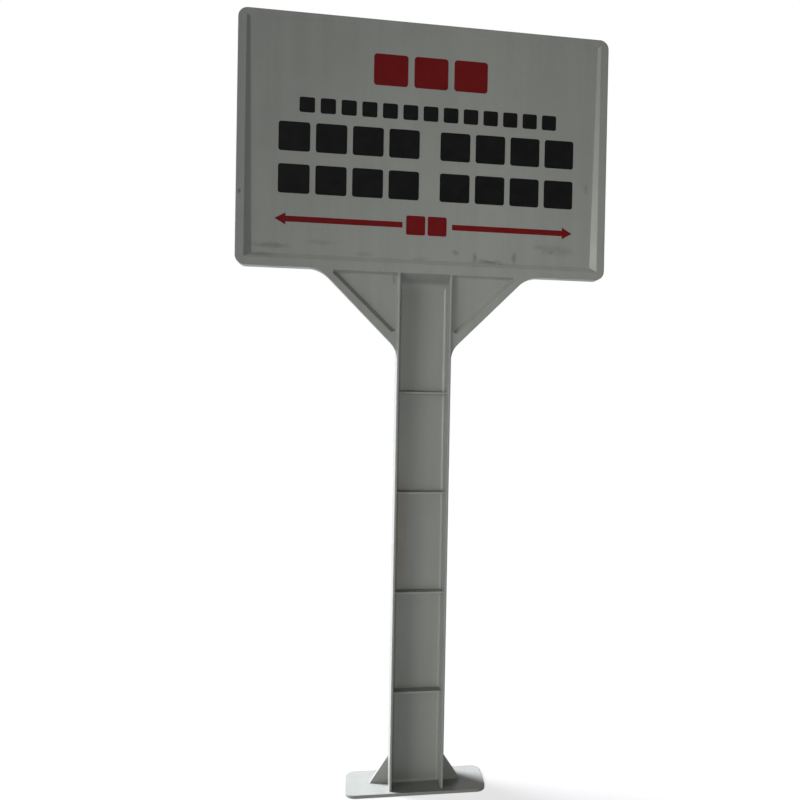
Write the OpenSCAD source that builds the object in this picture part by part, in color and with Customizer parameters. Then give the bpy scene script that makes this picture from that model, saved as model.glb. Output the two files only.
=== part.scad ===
// Warning sign post: a bordered panel, its post and its foot, moulded in one piece.
// Millimetres. +Z is up, -Y is the side that the reader sees.
// The origin is at the middle of the foot's underside.

/* [Overall] */
// Height from the foot's underside to the top of the panel
overall_h = 1250; // [1000:1:1900]
// Width of the panel
panel_w = 600; // [450:1:700]
// Height of the panel
panel_h = 400; // [300:1:500]

/* [Panel] */
// Depth of the panel at its edge
panel_t = 18; // [14:0.5:24]
// Radius of the panel's corners
panel_r = 15; // [10:0.5:25]
// Width of the flat border at each side
border_side = 13; // [8:0.5:20]
// Width of the flat border along the top
border_top = 9.5; // [6:0.5:20]
// Width of the flat border along the bottom
border_bottom = 13; // [10:0.5:20]
// Depth of the printed field below the border at its top edge
field_top_depth = 2.3; // [1:0.1:3.5]
// Depth of the printed field below the border at its bottom edge
field_bottom_depth = 5; // [2:0.1:5.5]
// Slope of the bevel at the two sides of the field, in degrees
field_side_slope = 24; // [15:1:45]
// Slope of the bevel above and below the field, in degrees
field_end_slope = 33; // [15:1:45]

/* [Panel back] */
// Depth from the front of the border to the back of the skin
skin_back = 9.5; // [8.5:0.5:11]
// Thickness of the lip round the back
lip_t = 6; // [4:0.5:8]
// Thickness of the stiffening ribs on the back
back_rib_t = 4; // [3:0.5:6]
// Number of level ribs on the back
back_rib_count = 3; // [1:1:5]
// Distance from the middle to each upright rib on the back
back_rib_x = 170; // [100:1:220]
// Share of the panel's height over which the post's rear flanges taper away
rear_flange_share = 0.75; // [0.4:0.05:0.9]

/* [Post] */
// Width across the flanges at their tips
post_w = 88; // [70:1:110]
// Depth of the post from front to back
post_d = 64; // [50:1:72]
// Thickness of a flange at its tip
flange_tip_t = 3.6; // [3:0.1:6]
// Thickness of the web
web_t = 5; // [4:0.1:8]
// Draft on the outside of the flanges, in degrees
outer_draft = 3.5; // [1:0.5:5]
// Draft on the inside of the flanges, in degrees
inner_draft = 4.5; // [1:0.5:6]
// Fillet between the web and the flanges
web_fillet = 5; // [2:0.5:8]

/* [Cross ribs] */
// Number of cross ribs on each side of the web
rib_count = 4; // [2:1:5]
// Height of the lowest cross rib's top edge
rib_first_z = 161.5; // [100:0.5:180]
// Distance from the panel down to the highest cross rib's top edge
rib_last_drop = 193.5; // [150:0.5:250]
// Distance from the flange tips back to the edge of a cross rib
rib_set_back = 15; // [8:0.5:20]
// Thickness of a cross rib at its edge
rib_edge_t = 3.4; // [2.5:0.1:5]
// Draft on each face of a cross rib, in degrees
rib_draft = 1.5; // [0.5:0.5:3]

/* [Brackets under the panel] */
// Depth of a bracket from front to back
bracket_t = 16; // [15:0.5:18]
// How far a bracket's front leans back from the post's front edge at its lower end
bracket_lean = 4; // [1:0.5:5]
// Distance from the post's middle at which a bracket's diagonal meets the panel
bracket_reach = 170; // [130:1:200]
// Width of the raised rim along the diagonal
bracket_rim = 10; // [8:0.5:15]
// Radius where the diagonal meets the panel
bracket_panel_r = 48; // [20:1:60]
// Radius where the diagonal meets the post
bracket_post_r = 35; // [20:1:50]
// Depth of the pocket at its upper end
pocket_top_depth = 7; // [4:0.5:8]
// Depth of the pocket at its lower corner
pocket_bottom_depth = 11; // [8:0.5:12]
// Width of the bevel along the pocket's diagonal at its lower corner
pocket_bevel = 10; // [5:0.5:12]
// Radius of the pocket's lower corner
pocket_corner_r = 10; // [4:0.5:12]
// Radius of the pocket's outer corner, under the panel
pocket_tip_r = 4; // [2:0.5:6]

/* [Foot] */
// Length of the foot from side to side
foot_w = 230; // [190:1:300]
// How far the foot stands out in front of the post, and behind it
foot_margin = 6; // [3:0.5:25]
// Thickness of the foot
foot_t = 5; // [4:0.5:8]
// Radius of the foot's corners
foot_r = 16; // [8:1:25]
// Reach of a foot gusset from the post's middle
gusset_reach = 75.5; // [60:0.5:90]
// Height of a foot gusset above the foot
gusset_h = 44; // [30:1:70]
// Thickness of a foot gusset
gusset_t = 6; // [4:0.5:10]
// Fillet between the web and the foot
foot_fillet = 4; // [2:0.5:8]

/* [Hidden] */
$fn = 64;

// How far pieces of the moulding run into each other
lap = 2;
front_y = -post_d / 2;
back_y = post_d / 2;
panel_z = overall_h - panel_h;
panel_back_y = front_y + panel_t;
skin_back_y = front_y + skin_back;
half_tip = post_w / 2;
half_tip_in = half_tip - flange_tip_t;
channel_d = post_d / 2 - web_t / 2;
half_root_in = half_tip_in - channel_d * tan(inner_draft);
half_mid = half_tip + post_d / 2 * tan(outer_draft);
tip_r = 1.2;
foot_d = post_d + 2 * foot_margin;
rise_z = panel_z + rear_flange_share * panel_h;

// The post's channels are sunk to this height, which the foot then covers
sunk_z = foot_t - lap / 2;

// The web leans forward to meet the panel over this height, and over this radius
ramp_h = 14;
ramp_r = 16;
ramp_top_z = panel_z - 2;
ramp_foot_z = ramp_top_z - ramp_h;

// The floor of a bracket's pocket rises to the front over this height, and over this radius
pocket_rise_h = 5;
pocket_rise_r = 5;
pocket_top_z = panel_z - 1;

grey = [0.47, 0.48, 0.455];

function polar(r, a) = [r * cos(a), r * sin(a)];

// The sliver between two edges that leave corner p at angles a and b and the circle of radius r
// that rounds them. Added, it fillets a hollow corner. Taken away, it rounds an outer one.
// It runs a little past both edges, and the circle bites into them, so that they cross cleanly.
module corner_fill(p, a, b, r) {
    half = (b - a) / 2;
    mid = (a + b) / 2;
    past = lap / 2;
    bite = 0.01;
    centre = p + polar((r - bite) / sin(half), mid);
    run = r / tan(half);
    difference() {
        polygon([
            p - polar(past, mid), p + polar(run, a) + polar(past, a - 90),
            centre, p + polar(run, b) + polar(past, b + 90)
        ]);
        translate(centre) circle(r);
    }
}

// A shape drawn as seen from the front (X across, Z up), between depths y0 and y1
module front_shape(y0, y1) {
    for (i = [0 : $children - 1])
        translate([0, y1, 0]) rotate([90, 0, 0]) linear_extrude(y1 - y0) children(i);
}

// A shape drawn as seen from the side (Y across, Z up), between x0 and x1
module side_shape(x0, x1) {
    for (i = [0 : $children - 1])
        translate([x0, 0, 0]) rotate([90, 0, 90]) linear_extrude(x1 - x0) children(i);
}

module both_sides() {
    children();
    mirror([1, 0, 0]) children();
}

// A rectangle from low corner to high corner with its four corners rounded
module round_rect(low, high, r) {
    difference() {
        translate(low) square(high - low);
        corner_fill(low, 0, 90, r);
        corner_fill([high[0], low[1]], 90, 180, r);
        corner_fill(high, 180, 270, r);
        corner_fill([low[0], high[1]], 270, 360, r);
    }
}

// The printed field: its floor leans back towards the bottom, so its bevels widen downwards
module field_cut() {
    proud = 1;
    deep = 8;
    side_x = panel_w / 2 - border_side;
    side_run = 1 / tan(field_side_slope);
    end_run = 1 / tan(field_end_slope);
    low_z = panel_z + border_bottom;
    high_z = overall_h - border_top;
    intersection() {
        translate([0, 0, panel_z]) linear_extrude(panel_h) polygon([
            [-side_x - proud * side_run, front_y - proud],
            [-side_x + deep * side_run, front_y + deep],
            [side_x - deep * side_run, front_y + deep],
            [side_x + proud * side_run, front_y - proud]
        ]);
        side_shape(-panel_w / 2, panel_w / 2) polygon([
            [front_y - proud, low_z - proud * end_run],
            [front_y + field_bottom_depth, low_z + field_bottom_depth * end_run],
            [front_y + field_top_depth, high_z - field_top_depth * end_run],
            [front_y - proud, high_z + proud * end_run]
        ]);
    }
}

// The tray behind the skin, open at the back
module back_cut() {
    inner_x = panel_w / 2 - lip_t;
    front_shape(skin_back_y, panel_back_y + lap)
        round_rect([-inner_x, panel_z + lip_t], [inner_x, overall_h - lip_t], panel_r - lip_t);
}

module back_ribs() {
    inner_x = panel_w / 2 - lip_t / 2;
    pitch = panel_h / (back_rib_count + 1);
    front_shape(skin_back_y - lap, panel_back_y) {
        for (i = [1 : back_rib_count])
            translate([-inner_x, panel_z + i * pitch - back_rib_t / 2])
                square([2 * inner_x, back_rib_t]);
        for (side = [-1, 1])
            translate([side * back_rib_x - back_rib_t / 2, panel_z + lip_t / 2])
                square([back_rib_t, panel_h - lip_t]);
    }
}

module panel() {
    difference() {
        front_shape(front_y, panel_back_y)
            round_rect([-panel_w / 2, panel_z], [panel_w / 2, overall_h], panel_r);
        field_cut();
        back_cut();
    }
    back_ribs();
}

// One bracket seen from the front: a right triangle with a fillet at each end of its diagonal
module bracket_outline() {
    wall_x = half_tip + bracket_t / 2 * tan(outer_draft);
    polygon([
        [half_tip - lap, panel_z + lap],
        [bracket_reach + lap, panel_z + lap],
        [half_tip - lap, panel_z - bracket_reach + half_tip - lap]
    ]);
    corner_fill([bracket_reach, panel_z], 225, 360, bracket_panel_r);
    corner_fill([wall_x, panel_z - bracket_reach + wall_x], -90, 45, bracket_post_r);
}

// The pocket in a bracket: deepest in the lower corner, rising in a soft curve to the panel.
// A ledge is left between it and the post.
module pocket_cut() {
    proud = 2;
    ledge = 0.5;
    wall_x = half_tip + ledge;
    wall_run = tan(outer_draft);
    floor_z = pocket_top_z - pocket_rise_h;
    rim_u = bracket_reach / sqrt(2) - bracket_rim;
    bevel_run = pocket_bevel / pocket_bottom_depth;
    corner_z = panel_z - rim_u * sqrt(2) + wall_x;
    slope = (pocket_bottom_depth - pocket_top_depth) / (floor_z - corner_z);
    rise_angle = atan(pocket_rise_h / (pocket_top_depth + proud));
    low_z = corner_z - wall_x;
    tip_drop = panel_z - pocket_top_z + pocket_rise_h * proud / (pocket_top_depth + proud);
    difference() {
        intersection() {
            side_shape(0, bracket_reach) difference() {
                polygon([
                    [front_y - proud, pocket_top_z],
                    [front_y + pocket_top_depth, floor_z],
                    [front_y + pocket_bottom_depth + wall_x * slope, low_z],
                    [front_y - proud, low_z]
                ]);
                corner_fill([front_y + pocket_top_depth, floor_z],
                    180 - rise_angle, 270 + atan(slope), pocket_rise_r);
            }
            translate([0, 0, low_z]) linear_extrude(panel_z - low_z) polygon([
                [wall_x - proud * wall_run, front_y - proud],
                [wall_x + bracket_t * wall_run, front_y + bracket_t],
                [bracket_reach, front_y + bracket_t],
                [bracket_reach, front_y - proud]
            ]);
            translate([0, 0, panel_z]) rotate([0, 45, 0]) translate([0, 0, -bracket_reach])
                linear_extrude(2 * bracket_reach) polygon([
                    [0, front_y - proud],
                    [rim_u + proud * bevel_run, front_y - proud],
                    [rim_u - bracket_t * bevel_run, front_y + bracket_t],
                    [0, front_y + bracket_t]
                ]);
        }
        front_shape(front_y - proud - lap, front_y + bracket_t) {
            corner_fill([wall_x, corner_z], 45, 90, pocket_corner_r);
            corner_fill([rim_u * sqrt(2) - tip_drop, panel_z - tip_drop], 180, 225, pocket_tip_r);
        }
    }
}

module brackets() {
    back = front_y + bracket_t;
    low_z = panel_z - bracket_reach;
    lean = bracket_lean * bracket_reach / (bracket_reach - half_tip);
    both_sides() difference() {
        intersection() {
            front_shape(front_y, back) bracket_outline();
            side_shape(0, panel_w / 2) polygon([
                [front_y, panel_z], [front_y + lean, low_z], [back + lap, low_z],
                [back + lap, panel_z + lap], [front_y, panel_z + lap]
            ]);
        }
        pocket_cut();
    }
}

// The post in plan, before its channels are sunk: widest halfway back, tips rounded
module post_outline() {
    difference() {
        polygon([
            [half_tip, front_y], [half_mid, 0], [half_tip, back_y],
            [-half_tip, back_y], [-half_mid, 0], [-half_tip, front_y]
        ]);
        corner_fill([half_tip, front_y], 90 - outer_draft, 180, tip_r);
        corner_fill([-half_tip, front_y], 0, 90 + outer_draft, tip_r);
        corner_fill([half_tip, back_y], 180, 270 + outer_draft, tip_r);
        corner_fill([-half_tip, back_y], 270 - outer_draft, 360, tip_r);
    }
}

// Full depth up to the panel, then on behind it as a tapering spine
module post_block() {
    hidden_y = skin_back_y - lap;
    border_z = panel_z + border_bottom / 2;
    intersection() {
        translate([0, 0, foot_t / 2]) linear_extrude(overall_h) post_outline();
        side_shape(-panel_w / 2, panel_w / 2) polygon([
            [front_y - lap, 0], [back_y + lap, 0], [back_y + lap, panel_z], [back_y, panel_z],
            [panel_back_y, rise_z], [hidden_y, rise_z], [hidden_y, border_z], [front_y - lap, border_z]
        ]);
    }
}

// The channel that the reader sees: its floor is the web, which leans forward at the top
module front_channel() {
    web_y = -web_t / 2;
    ramp_run = ramp_h / (web_y - front_y);
    mouth_y = front_y - lap;
    mouth_x = half_tip_in + lap * tan(inner_draft);
    difference() {
        intersection() {
            linear_extrude(panel_z) polygon([
                [half_root_in, web_y], [-half_root_in, web_y], [-mouth_x, mouth_y], [mouth_x, mouth_y]
            ]);
            side_shape(-half_tip, half_tip) difference() {
                polygon([
                    [web_y, sunk_z], [web_y, ramp_foot_z],
                    [mouth_y, ramp_top_z + lap * ramp_run], [mouth_y, sunk_z]
                ]);
                corner_fill([web_y, ramp_foot_z], 180 - atan(ramp_run), 270, ramp_r);
                corner_fill([web_y, foot_t], 90, 180, foot_fillet);
            }
        }
        linear_extrude(ramp_top_z) {
            corner_fill([half_root_in, web_y], 180, 270 + inner_draft, web_fillet);
            corner_fill([-half_root_in, web_y], 270 - inner_draft, 360, web_fillet);
        }
    }
}

// The channel at the back, which runs on up behind the panel between the two rear flanges
module rear_channel() {
    web_y = web_t / 2;
    shelf_z = panel_z + lip_t + lap;
    mouth_y = back_y + lap;
    mouth_x = half_tip_in + lap * tan(inner_draft);
    skin_x = half_root_in - (web_y - skin_back_y) * tan(inner_draft);
    difference() {
        intersection() {
            linear_extrude(overall_h) polygon([
                [skin_x, skin_back_y], [mouth_x, mouth_y], [-mouth_x, mouth_y], [-skin_x, skin_back_y]
            ]);
            side_shape(-half_tip, half_tip) difference() {
                polygon([
                    [web_y, sunk_z], [mouth_y, sunk_z], [mouth_y, overall_h],
                    [skin_back_y, overall_h], [skin_back_y, shelf_z], [web_y, ramp_foot_z]
                ]);
                corner_fill([web_y, foot_t], 0, 90, foot_fillet);
            }
        }
        linear_extrude(ramp_foot_z) {
            corner_fill([half_root_in, web_y], 90 - inner_draft, 180, web_fillet);
            corner_fill([-half_root_in, web_y], 0, 90 + inner_draft, web_fillet);
        }
    }
}

module post() {
    difference() {
        post_block();
        front_channel();
        rear_channel();
    }
}

module cross_ribs() {
    edge_y = post_d / 2 - rib_set_back;
    root_lift = edge_y * tan(rib_draft);
    pitch = (panel_z - rib_last_drop - rib_first_z) / (rib_count - 1);
    for (i = [0 : rib_count - 1]) {
        z = rib_first_z + i * pitch;
        side_shape(-half_tip_in - lap / 2, half_tip_in + lap / 2) polygon([
            [-edge_y, z - rib_edge_t], [-edge_y, z], [0, z + root_lift], [edge_y, z],
            [edge_y, z - rib_edge_t], [0, z - rib_edge_t - root_lift]
        ]);
    }
}

module foot_plate() {
    linear_extrude(foot_t) round_rect([-foot_w / 2, -foot_d / 2], [foot_w / 2, foot_d / 2], foot_r);
}

module foot_gussets() {
    slope = gusset_h / (gusset_reach - half_mid);
    both_sides() front_shape(-gusset_t / 2, gusset_t / 2) polygon([
        [half_tip, foot_t / 2],
        [gusset_reach + foot_t / 2 / slope, foot_t / 2],
        [half_tip, foot_t + (gusset_reach - half_tip) * slope]
    ]);
}

module sign_post() {
    color(grey) {
        panel();
        brackets();
        post();
        cross_ribs();
        foot_plate();
        foot_gussets();
    }
}

sign_post();
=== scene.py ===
import math

import bpy
from mathutils import Matrix, Vector
from mathutils.bvhtree import BVHTree


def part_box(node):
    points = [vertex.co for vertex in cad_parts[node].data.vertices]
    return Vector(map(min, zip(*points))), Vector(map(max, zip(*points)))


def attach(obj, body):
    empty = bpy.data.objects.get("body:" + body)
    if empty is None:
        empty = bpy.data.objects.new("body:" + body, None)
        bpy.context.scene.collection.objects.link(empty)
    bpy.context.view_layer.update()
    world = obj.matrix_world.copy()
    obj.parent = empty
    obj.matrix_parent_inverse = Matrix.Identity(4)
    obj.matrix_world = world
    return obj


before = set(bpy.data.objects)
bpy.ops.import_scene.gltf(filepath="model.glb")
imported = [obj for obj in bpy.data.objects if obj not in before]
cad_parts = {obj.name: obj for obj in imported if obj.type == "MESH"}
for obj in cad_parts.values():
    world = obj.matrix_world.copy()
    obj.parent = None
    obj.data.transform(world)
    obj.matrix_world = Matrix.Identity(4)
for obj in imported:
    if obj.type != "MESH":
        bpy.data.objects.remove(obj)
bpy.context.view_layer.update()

MM = 0.001
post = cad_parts["sign_post"]
low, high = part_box("sign_post")
PANEL_TOP = high.z

# Camera: position in metres and angles in radians, from a fit to the object's edges in the photograph
CAMERA_AT = Vector((-0.1024, -1.1660, 0.6357))
CAMERA_YAW = 0.13846
CAMERA_PITCH = -0.01162
CAMERA_ROLL = 0.01913
PHOTO_PX = 800
FOCAL_PX = 700
LENS_AXIS_PX = (457.1, 413.4)
SENSOR_MM = 36

# Light. Each FROM points towards its lamp. A sun's strength is what a white surface that faces it sends
# back, and its width is how large it looks from the object, in degrees.
AMBIENT = 0.03
KEY_FROM = (-0.664, 0.333, 0.669)
KEY_STRENGTH = 4.15
KEY_WIDTH = 20
KEY_TINT = (0.975, 0.98, 1.08)
SIDE_FROM = (-0.866, -0.500, 0.0)
SIDE_STRENGTH = 0.59
SIDE_WIDTH = 40
TOP_FROM = (-0.15, -0.25, 0.955)
TOP_STRENGTH = 0.12
TOP_WIDTH = 60
GLINT_FROM = (-0.499, -0.864, 0.070)
GLINT_STRENGTH = 0.42
GLINT_WIDTH = 14

# The front lamp's place, the height that it aims at, and the half width and half height of its beam
# where it meets the object, in metres
FRONT_AT = (0.10, -3.0, 0.15)
FRONT_AIM_Z = 0.54
FRONT_REACH = (0.40, 1.0)
FRONT_SIZE = 0.5
FRONT_WATTS = 121

# The floor, in metres. Its colours are sRGB: as it is seen, and as it lights the object. The glow is how
# much of what is seen is plain white.
FLOOR_SIZE = 12
FLOOR_SEEN = (0.66, 0.66, 0.66)
FLOOR_BOUNCE = (0.40, 0.40, 0.40)
FLOOR_GLOW = 0.75

# Colours as sRGB
MOULDING_GREY = (0.511, 0.520, 0.497)
MOULDING_PALE = (0.532, 0.541, 0.517)
# The grey of the dirt, also used for one painted shadow beside the post's left flange
DIRT_AND_SHADOW_GREY = (0.27, 0.27, 0.245)
# A darker, browner grey for low on the left of the post's channel
WARM_BROWN = (0.50, 0.465, 0.42)
INKS = (("red_print", (0.385, 0.055, 0.060)), ("black_print", (0.012, 0.013, 0.012)))
WHITE = (1, 1, 1, 1)

# Gloss. The moulding's roughness goes from one value to the other in patches.
MOULDING_ROUGHNESS = (0.28, 0.40)
MOULDING_SPECULAR = 0.25
INK_ROUGHNESS = 0.6
INK_SPECULAR = 0.06

# The thickness of the ink, and how far it goes into the moulding, in millimetres
INK_T = 0.2
INK_SUNK = 0.1
INK_PROBE_Y = low.y - 0.1

# The rows of printed blocks, in millimetres: name, count, middle across, pitch, size of a block, radius
# of its corners, drop below the top of the panel, and slot
BLOCK_ROWS = (
    ("title_block", 3, 3.5, 65, (55, 50), 5, 78, "red_print"),
    ("small_block", 13, 4, 32.8, (24, 24), 3, 143, "black_print"),
    ("upper_left_block", 4, -125, 58, (49, 46), 4, 194, "black_print"),
    ("lower_left_block", 4, -125, 58, (49, 46), 4, 260.5, "black_print"),
    ("upper_right_block", 4, 132, 58, (49, 46), 4, 194, "black_print"),
    ("lower_right_block", 4, 132, 58, (49, 46), 4, 260.5, "black_print"),
    ("label_block", 2, 0, 35, (31, 31), 3, 324, "red_print"),
)

# The printed arrows, in millimetres: name, tip and tail across
ARROWS = (("arrow_left", -241, -39), ("arrow_right", 244, 42))
ARROW_DROP = 324
ARROW_HEAD_LENGTH = 17
ARROW_HEAD_WIDTH = 19
ARROW_SHAFT_WIDTH = 9

# How far the moulding's edges look rounded, in millimetres
EDGE_SOFTNESS = 1.8

# Dark marks on the front, in millimetres: place across, height, half width, half height, and darkness
# from 0 to 1. Most are dirt; the one at -51 across and 838 high is painted shadow beside the post's left
# flange.
DIRT_AND_SHADOW_MARKS = (
    (49, 885, 7, 6, 0.38),
    (81, 879, 4, 8, 0.45),
    (106, 872, 28, 5, 0.45),
    (103, 872.5, 13, 4, 0.60),
    (146, 881, 5, 10, 0.42),
    (190, 900, 12, 5, 0.25),
    (208, 894, 7, 6, 0.38),
    (214, 897, 34, 10, 0.22),
    (267, 1001, 5, 8, 0.25),
    (-100, 875, 16, 5, 0.20),
    (-8, 873, 20, 4, 0.16),
    (-247, 883, 36, 5, 0.40),
    (-166, 891, 28, 4, 0.20),
    (-295, 964, 3, 5, 0.75),
    # Painted shadow beside the post's left flange, not dirt
    (-51, 838, 3, 9, 0.40),
    (-262, 868, 26, 4, 0.34),
)

# The dirt and the painted shadow are only on what lies in front of this, in metres. Their edges wander by
# this much of their half size, in patches of this many to the metre, and they fade between these distances
# from their middle.
MARK_FRONT_Y = -0.0235
MARK_WANDER = 1.6
MARK_PATCHES = 90.0
MARK_FADE = (1.25, 0.1)

# The middle of the faint brown tint, and how far it reaches, in metres
WARM_AT = (-0.032, -0.004, 0.430)
WARM_REACH = (0.018, 0.012, 0.140)


def linear(colour):
    """An sRGB colour as the linear RGBA that a shader takes."""
    return tuple(c / 12.92 if c <= 0.04045 else ((c + 0.055) / 1.055) ** 2.4 for c in colour) + (1.0,)


class Shader:
    """A material's node tree, with one short call for each kind of node that is used here."""

    # The colour sockets of a Mix node, whose names it uses more than once
    MIX_A, MIX_B, MIX_RESULT = 6, 7, 2

    def __init__(self, name):
        self.material = bpy.data.materials.new(name)
        self.material.use_nodes = True
        self.tree = self.material.node_tree
        self.surface = self.tree.nodes["Principled BSDF"]

    def add(self, kind, settings=None, **inputs):
        made = self.tree.nodes.new(kind)
        for key, value in (settings or {}).items():
            setattr(made, key, value)
        for key, value in inputs.items():
            self.put(made.inputs[key.replace("_", " ")], value)
        return made

    def put(self, socket, value):
        if isinstance(value, bpy.types.NodeSocket):
            self.tree.links.new(value, socket)
        else:
            socket.default_value = value

    def maths(self, operation, a, b):
        made = self.tree.nodes.new("ShaderNodeMath")
        made.operation = operation
        self.put(made.inputs[0], a)
        self.put(made.inputs[1], b)
        return made.outputs[0]

    def vector(self, operation, a, b):
        made = self.tree.nodes.new("ShaderNodeVectorMath")
        made.operation = operation
        self.put(made.inputs[0], a)
        self.put(made.inputs[1], b)
        return made

    def mix(self, factor, a, b):
        made = self.tree.nodes.new("ShaderNodeMix")
        made.data_type = "RGBA"
        self.put(made.inputs["Factor"], factor)
        self.put(made.inputs[self.MIX_A], a)
        self.put(made.inputs[self.MIX_B], b)
        return made.outputs[self.MIX_RESULT]

    def spread(self, value, low_in, high_in, low_out=0.0, high_out=1.0):
        """A value taken smoothly from one range to another, and held at the ends."""
        made = self.add("ShaderNodeMapRange", {"interpolation_type": "SMOOTHSTEP"})
        for index, put in enumerate((value, low_in, high_in, low_out, high_out)):
            self.put(made.inputs[index], put)
        return made.outputs[0]

    def noise(self, place, scale, detail=2.0, stretch=(1, 1, 1)):
        """Cloudy noise, with its scale in patches to the metre."""
        stretched = self.vector("MULTIPLY", place, stretch).outputs[0]
        made = self.add("ShaderNodeTexNoise", Vector=stretched, Scale=scale, Detail=detail)
        return made.outputs["Fac"]

    def bump(self, strength, depth, height, normal=None):
        """The normal of a surface with fine relief. Its depth is in millimetres."""
        made = self.add("ShaderNodeBump", Strength=strength, Distance=depth * MM, Height=height)
        if normal is not None:
            self.put(made.inputs["Normal"], normal)
        return made.outputs["Normal"]


def dirt_and_shadow_mask(shader, place):
    """How dark the dirt and the painted shadow are at a point of the front face, from 0 to 1."""
    wobble = shader.add("ShaderNodeTexNoise", Vector=place, Scale=MARK_PATCHES, Detail=3.0)
    wander = shader.vector("SUBTRACT", wobble.outputs["Color"], (0.5, 0.5, 0.5)).outputs[0]
    wander = shader.vector("MULTIPLY", wander, (MARK_WANDER, 0, MARK_WANDER)).outputs[0]
    total = 0.0
    for x, z, half_w, half_h, darkness in DIRT_AND_SHADOW_MARKS:
        offset = shader.vector("SUBTRACT", place, (x * MM, 0, z * MM)).outputs[0]
        size = (1 / (half_w * MM), 0, 1 / (half_h * MM))
        scaled = shader.vector("MULTIPLY", offset, size).outputs[0]
        moved = shader.vector("ADD", scaled, wander)
        distance = shader.vector("LENGTH", moved.outputs[0], (0, 0, 0)).outputs["Value"]
        total = shader.maths("MAXIMUM", total, shader.spread(distance, *MARK_FADE, 0.0, darkness))
    depth = shader.add("ShaderNodeSeparateXYZ", Vector=place).outputs["Y"]
    return shader.maths("MULTIPLY", total, shader.maths("LESS_THAN", depth, MARK_FRONT_Y))


def warm_mask(shader, place):
    """A faint brown tint low on the left of the post's channel, from 0 to 1."""
    offset = shader.vector("SUBTRACT", place, WARM_AT).outputs[0]
    scaled = shader.vector("DIVIDE", offset, WARM_REACH).outputs[0]
    distance = shader.vector("LENGTH", scaled, (0, 0, 0)).outputs["Value"]
    patchy = shader.spread(shader.noise(place, 40.0, 3.0, stretch=(1, 1, 0.3)), 0.3, 0.6)
    return shader.maths("MULTIPLY", shader.spread(distance, 1.0, 0.2, 0.0, 0.8), patchy)


def moulding_material():
    """Grey glass-filled moulding: cloudy, faintly streaked along its flow, with a low sheen."""
    shader = Shader("moulding")
    place = shader.add("ShaderNodeTexCoord").outputs["Object"]

    clouds = shader.noise(place, 7.0, 3.0)
    streaks = shader.noise(place, 55.0, stretch=(1, 1, 0.06))
    flecks = shader.noise(place, 420.0, stretch=(1, 1, 0.45))
    tone = 0.0
    for pattern, share in ((clouds, 0.40), (streaks, 0.40), (flecks, 0.20)):
        tone = shader.maths("ADD", tone, shader.maths("MULTIPLY", pattern, share))
    colour = shader.mix(shader.spread(tone, 0.38, 0.62), linear(MOULDING_GREY), linear(MOULDING_PALE))

    colour = shader.mix(warm_mask(shader, place), colour, linear(WARM_BROWN))
    # Dirt, and one painted shadow beside the post's left flange, in the same grey
    colour = shader.mix(dirt_and_shadow_mask(shader, place), colour, linear(DIRT_AND_SHADOW_GREY))
    shader.put(shader.surface.inputs["Base Color"], colour)

    wear = shader.noise(place, 24.0, 4.0)
    shader.put(shader.surface.inputs["Roughness"], shader.spread(wear, 0.3, 0.7, *MOULDING_ROUGHNESS))
    shader.surface.inputs["Specular IOR Level"].default_value = MOULDING_SPECULAR

    rounded = shader.add("ShaderNodeBevel", {"samples": 4}, Radius=EDGE_SOFTNESS * MM).outputs["Normal"]
    wavy = shader.bump(0.25, 0.5, shader.noise(place, 30.0), rounded)
    peel = shader.bump(0.30, 0.12, shader.noise(place, 300.0, 3.0, stretch=(1, 1, 0.6)), wavy)
    shader.put(shader.surface.inputs["Normal"], peel)
    return shader.material


def ink_material(name, colour):
    """Flat screen-printed ink: nearly matt, a little uneven, with pinholes that show the moulding."""
    shader = Shader(name)
    place = shader.add("ShaderNodeTexCoord").outputs["Object"]
    uneven = shader.spread(shader.noise(place, 60.0, 3.0), 0.3, 0.7, 0.0, 0.010)
    inked = shader.mix(uneven, linear(colour), linear(MOULDING_GREY))
    holes = shader.spread(shader.noise(place, 900.0), 0.72, 0.78, 0.0, 0.2)
    shader.put(shader.surface.inputs["Base Color"], shader.mix(holes, inked, linear(MOULDING_GREY)))
    shader.surface.inputs["Roughness"].default_value = INK_ROUGHNESS
    shader.surface.inputs["Specular IOR Level"].default_value = INK_SPECULAR
    shader.put(shader.surface.inputs["Normal"], shader.bump(0.2, 0.05, shader.noise(place, 500.0)))
    return shader.material


def rounded_rectangle(centre, size, radius, steps=5):
    """The outline of a rectangle with rounded corners, as points (across, height) in metres."""
    points = []
    for turn, (side_x, side_z) in enumerate(((1, -1), (1, 1), (-1, 1), (-1, -1))):
        corner_x = centre[0] + side_x * (size[0] / 2 - radius)
        corner_z = centre[1] + side_z * (size[1] / 2 - radius)
        for step in range(steps + 1):
            angle = math.radians(90 * (turn - 1 + step / steps))
            points.append((corner_x + radius * math.cos(angle), corner_z + radius * math.sin(angle)))
    return points


def arrow(tip_x, tail_x, z):
    """The outline of an arrow that lies level, as points (across, height) in metres."""
    way = 1 if tip_x > tail_x else -1
    neck_x = tip_x - way * ARROW_HEAD_LENGTH * MM
    half_head = ARROW_HEAD_WIDTH / 2 * MM
    half_shaft = ARROW_SHAFT_WIDTH / 2 * MM
    return [
        (tip_x, z),
        (neck_x, z + way * half_head),
        (neck_x, z + way * half_shaft),
        (tail_x, z + way * half_shaft),
        (tail_x, z - way * half_shaft),
        (neck_x, z - way * half_shaft),
        (neck_x, z - way * half_head),
    ]


front_of_post = BVHTree.FromObject(post, bpy.context.evaluated_depsgraph_get())


def face_y(x, z):
    """How far back the moulding's front face is at a point."""
    return front_of_post.ray_cast(Vector((x, INK_PROBE_Y, z)), Vector((0, 1, 0)))[0].y


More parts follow.
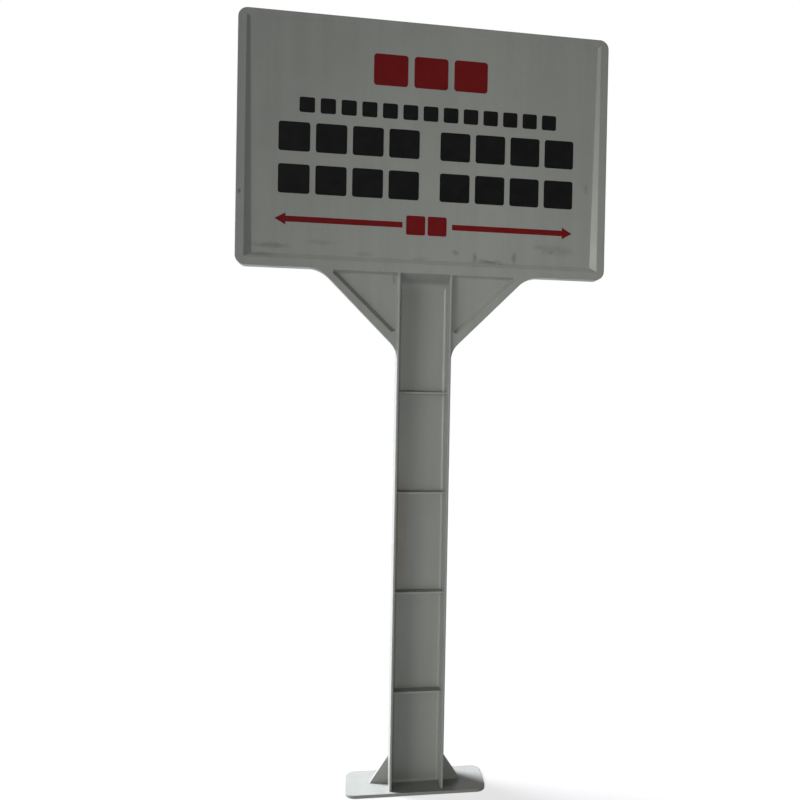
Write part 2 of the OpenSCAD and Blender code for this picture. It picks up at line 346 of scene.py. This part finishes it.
def printed_mark(name, outline, material):
    """A thin closed plate of ink that lies on the panel's field and follows its slope."""
    count = len(outline)
    front = [(x, face_y(x, z) - INK_T * MM, z) for x, z in outline]
    back = [(x, y + (INK_T + INK_SUNK) * MM, z) for x, y, z in front]
    faces = [tuple(reversed(range(count))), tuple(range(count, 2 * count))]
    for index in range(count):
        after = (index + 1) % count
        faces.append((index, after, count + after, count + index))
    mesh = bpy.data.meshes.new(name)
    mesh.from_pydata(front + back, [], faces)
    mesh.materials.append(material)
    mark = bpy.data.objects.new(name, mesh)
    bpy.context.scene.collection.objects.link(mark)
    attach(mark, "root")


def make_print():
    """Plain blocks of colour and two arrows on the panel's field."""
    inks = {name: ink_material(name, colour) for name, colour in INKS}
    for name, count, centre_x, pitch, size, radius, drop, slot in BLOCK_ROWS:
        for index in range(count):
            x = (centre_x + (index - (count - 1) / 2) * pitch) * MM
            z = PANEL_TOP - drop * MM
            outline = rounded_rectangle((x, z), (size[0] * MM, size[1] * MM), radius * MM)
            printed_mark(f"{name}_{index + 1}", outline, inks[slot])
    for name, tip_x, tail_x in ARROWS:
        outline = arrow(tip_x * MM, tail_x * MM, PANEL_TOP - ARROW_DROP * MM)
        printed_mark(name, outline, inks["red_print"])


def make_camera():
    """The photograph's viewpoint, with the lens axis off the middle of its frame."""
    forward = Vector(
        (
            math.sin(CAMERA_YAW) * math.cos(CAMERA_PITCH),
            math.cos(CAMERA_YAW) * math.cos(CAMERA_PITCH),
            math.sin(CAMERA_PITCH),
        )
    )
    level = Vector((math.cos(CAMERA_YAW), -math.sin(CAMERA_YAW), 0))
    upright = level.cross(forward)
    across = math.cos(CAMERA_ROLL) * level + math.sin(CAMERA_ROLL) * upright
    up = math.cos(CAMERA_ROLL) * upright - math.sin(CAMERA_ROLL) * level
    lens = bpy.data.cameras.new("camera")
    lens.sensor_width = SENSOR_MM
    lens.lens = SENSOR_MM * FOCAL_PX / PHOTO_PX
    lens.shift_x = (PHOTO_PX / 2 - LENS_AXIS_PX[0]) / PHOTO_PX
    lens.shift_y = (LENS_AXIS_PX[1] - PHOTO_PX / 2) / PHOTO_PX
    camera = bpy.data.objects.new("camera", lens)
    turn = Matrix((across, up, -forward)).transposed().to_4x4()
    camera.matrix_world = Matrix.Translation(CAMERA_AT) @ turn
    bpy.context.scene.collection.objects.link(camera)
    bpy.context.scene.camera = camera


def sun(name, towards, strength, width, tint=(1, 1, 1)):
    """A soft lamp without falloff."""
    lamp = bpy.data.lights.new(name, "SUN")
    lamp.energy = strength * math.pi
    lamp.angle = math.radians(width)
    lamp.color = tint
    holder = bpy.data.objects.new(name, lamp)
    holder.rotation_euler = Vector(towards).to_track_quat("Z", "Y").to_euler()
    bpy.context.scene.collection.objects.link(holder)
    return holder


def front_lamp():
    """A soft low lamp in front, with an upright oval beam that fades towards the panel's corners."""
    lamp = bpy.data.lights.new("front", "SPOT")
    lamp.energy = FRONT_WATTS
    lamp.shadow_soft_size = FRONT_SIZE / 2
    lamp.spot_size = 2 * math.atan(FRONT_REACH[1] / -FRONT_AT[1])
    lamp.spot_blend = 1.0
    holder = bpy.data.objects.new("front", lamp)
    holder.location = FRONT_AT
    rise = math.atan2(FRONT_AIM_Z - FRONT_AT[2], -FRONT_AT[1])
    holder.rotation_euler = (math.radians(90) + rise, 0, 0)
    holder.scale = (FRONT_REACH[0] / FRONT_REACH[1], 1, 1)
    holder.visible_glossy = False
    bpy.context.scene.collection.objects.link(holder)


def shown_rays(tree):
    """1 for rays that come from the camera or from a gloss or glass surface."""
    path = tree.nodes.new("ShaderNodeLightPath")
    total = path.outputs["Is Camera Ray"]
    for ray in ("Is Glossy Ray", "Is Transmission Ray"):
        more = tree.nodes.new("ShaderNodeMath")
        more.operation = "MAXIMUM"
        tree.links.new(total, more.inputs[0])
        tree.links.new(path.outputs[ray], more.inputs[1])
        total = more.outputs[0]
    return total


def make_world():
    """Dim and even for lighting, white where it is seen."""
    world = bpy.data.worlds.new("studio")
    world.use_nodes = True
    bpy.context.scene.world = world
    tree = world.node_tree
    strength = tree.nodes.new("ShaderNodeMapRange")
    strength.inputs["To Min"].default_value = AMBIENT
    strength.inputs["To Max"].default_value = 1.0
    tree.links.new(shown_rays(tree), strength.inputs["Value"])
    tree.nodes["Background"].inputs["Color"].default_value = WHITE
    tree.links.new(strength.outputs[0], tree.nodes["Background"].inputs["Strength"])


def make_floor():
    """A pale floor that keeps a soft shadow and otherwise melts into the white background."""
    half = FLOOR_SIZE / 2
    mesh = bpy.data.meshes.new("floor")
    corners = [(-half, -half, 0), (half, -half, 0), (half, half, 0), (-half, half, 0)]
    mesh.from_pydata(corners, [], [(0, 1, 2, 3)])
    floor = bpy.data.objects.new("floor", mesh)
    bpy.context.scene.collection.objects.link(floor)
    shader = Shader("floor")
    seen = shown_rays(shader.tree)
    colour = shader.mix(seen, linear(FLOOR_BOUNCE), linear(FLOOR_SEEN))
    shader.put(shader.surface.inputs["Base Color"], colour)
    shader.surface.inputs["Roughness"].default_value = 0.9
    shader.surface.inputs["Specular IOR Level"].default_value = 0.0
    glow = shader.add("ShaderNodeEmission", Color=WHITE, Strength=1.0)
    blend = shader.tree.nodes.new("ShaderNodeMixShader")
    share = shader.maths("MULTIPLY", seen, FLOOR_GLOW)
    shader.put(blend.inputs[0], share)
    shader.put(blend.inputs[1], shader.surface.outputs[0])
    shader.put(blend.inputs[2], glow.outputs[0])
    shader.put(shader.tree.nodes["Material Output"].inputs["Surface"], blend.outputs[0])
    mesh.materials.append(shader.material)
    # The floor takes shadows and casts none, so low light from the side gets past it.
    floor.visible_shadow = False


make_camera()
post.data.materials.clear()
post.data.materials.append(moulding_material())
make_print()
make_floor()
make_world()
sun("key", KEY_FROM, KEY_STRENGTH, KEY_WIDTH, KEY_TINT)
sun("side", SIDE_FROM, SIDE_STRENGTH, SIDE_WIDTH)
sun("top", TOP_FROM, TOP_STRENGTH, TOP_WIDTH)
glint = sun("glint", GLINT_FROM, GLINT_STRENGTH, GLINT_WIDTH)
# The glint is for the gloss alone, and the front lamp is kept out of it.
glint.visible_diffuse = False
front_lamp()

bpy.context.scene.view_settings.view_transform = "Standard"
